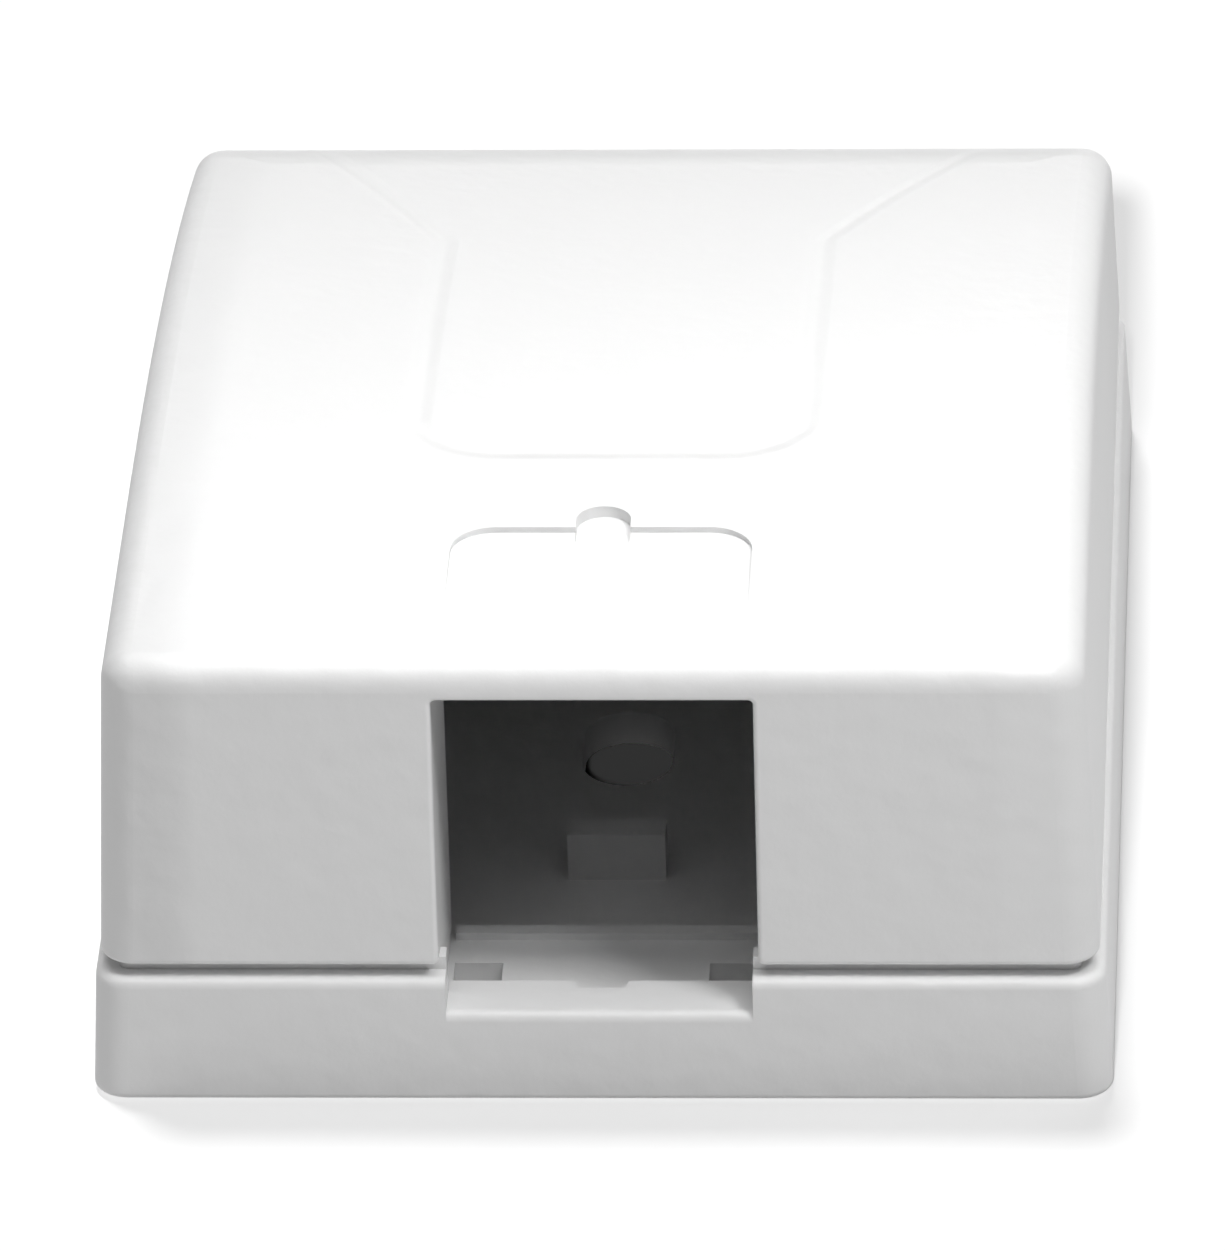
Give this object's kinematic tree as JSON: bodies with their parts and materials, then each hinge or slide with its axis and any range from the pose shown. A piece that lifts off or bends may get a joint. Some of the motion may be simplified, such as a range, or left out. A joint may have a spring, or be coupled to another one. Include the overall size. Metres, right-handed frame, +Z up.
{
  "type": "surface mount jack box",
  "caption": "White moulded surface mount box for a network jack: tray base with screw slots and mounting tapes, and a lift-off cover with the jack opening in its front.",
  "frame": {"origin": "under the middle of the box, on the surface that it stands on", "axes": "+Z up, +X to the right, +Y to the back; the jack opening faces -Y"},
  "size_m": [0.05, 0.07, 0.0239],
  "materials": {
    "base_plastic": "satin white ABS",
    "cover_plastic": "satin white ABS",
    "foam": "white closed-cell foam",
    "liner": "waxed release paper"
  },
  "bodies": {
    "base": {"base": "base_plastic", "foam_tape_left": "foam", "foam_tape_right": "foam", "tape_liner_left": "liner", "tape_liner_right": "liner"},
    "cover": {"cover": "cover_plastic"}
  },
  "joints": [
    {"name": "cover_lift", "type": "slide", "parent": "base", "child": "cover", "axis": [0, 0, 1], "range_m": [0, 0.03]}
  ]
}
